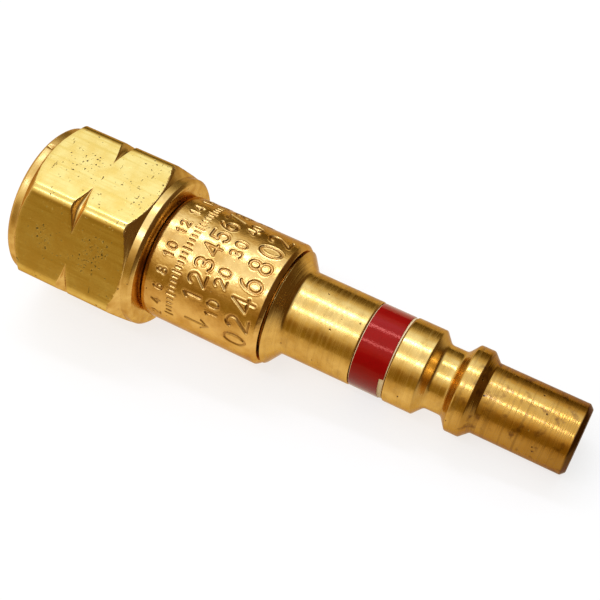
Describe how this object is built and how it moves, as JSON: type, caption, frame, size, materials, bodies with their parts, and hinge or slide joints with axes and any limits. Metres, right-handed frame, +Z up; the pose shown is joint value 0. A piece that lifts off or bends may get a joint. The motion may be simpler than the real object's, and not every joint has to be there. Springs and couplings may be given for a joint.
{
  "type": "gas quick connect coupling",
  "caption": "Brass quick connect plug with a swivel hexagon union nut, a spring check valve inside and a red colour band for fuel gas.",
  "frame": {"origin": "on the coupling's axis, halfway between the nut's open face and the plug's tip", "axes": "+X along the axis towards the plug's tip, +Z up, square to two of the nut's flats; the nut's corners lie at +Y and -Y"},
  "size_m": [0.0636, 0.0198, 0.0174],
  "materials": {
    "nut_brass": "drawn hexagon bar, dull polish, with turned ends",
    "body_brass": "turned and tumbled, satin",
    "turned_brass": "fine turned",
    "band_tape": "glossy red",
    "seal_rubber": "matt black",
    "sleeve_steel": "turned",
    "spring_steel": "drawn wire",
    "filter_bronze": "porous, matt"
  },
  "bodies": {
    "coupling": {"valve_body": "body_brass", "nose_gland": "turned_brass", "gland_seal": "seal_rubber", "plug_pin": "turned_brass", "pin_seal": "seal_rubber", "colour_band": "band_tape", "cartridge_sleeve": "sleeve_steel", "sleeve_seal": "seal_rubber", "valve_spring": "spring_steel", "stem_guide": "turned_brass", "guide_clip": "spring_steel", "dust_filter": "filter_bronze"},
    "nut": {"union_nut": "nut_brass"},
    "check_poppet": {"poppet": "turned_brass", "poppet_seal": "seal_rubber"}
  },
  "joints": [
    {"name": "nut_spin", "type": "hinge", "parent": "coupling", "child": "nut", "pos_m": [-0.024, 0, 0], "axis": [1, 0, 0], "continuous": true},
    {"name": "poppet_lift", "type": "slide", "parent": "coupling", "child": "check_poppet", "axis": [-1, 0, 0], "range_m": [0, 0.001], "stiffness_N_per_m": 200, "springref_m": -0.002, "deforming": ["valve_spring"]}
  ]
}
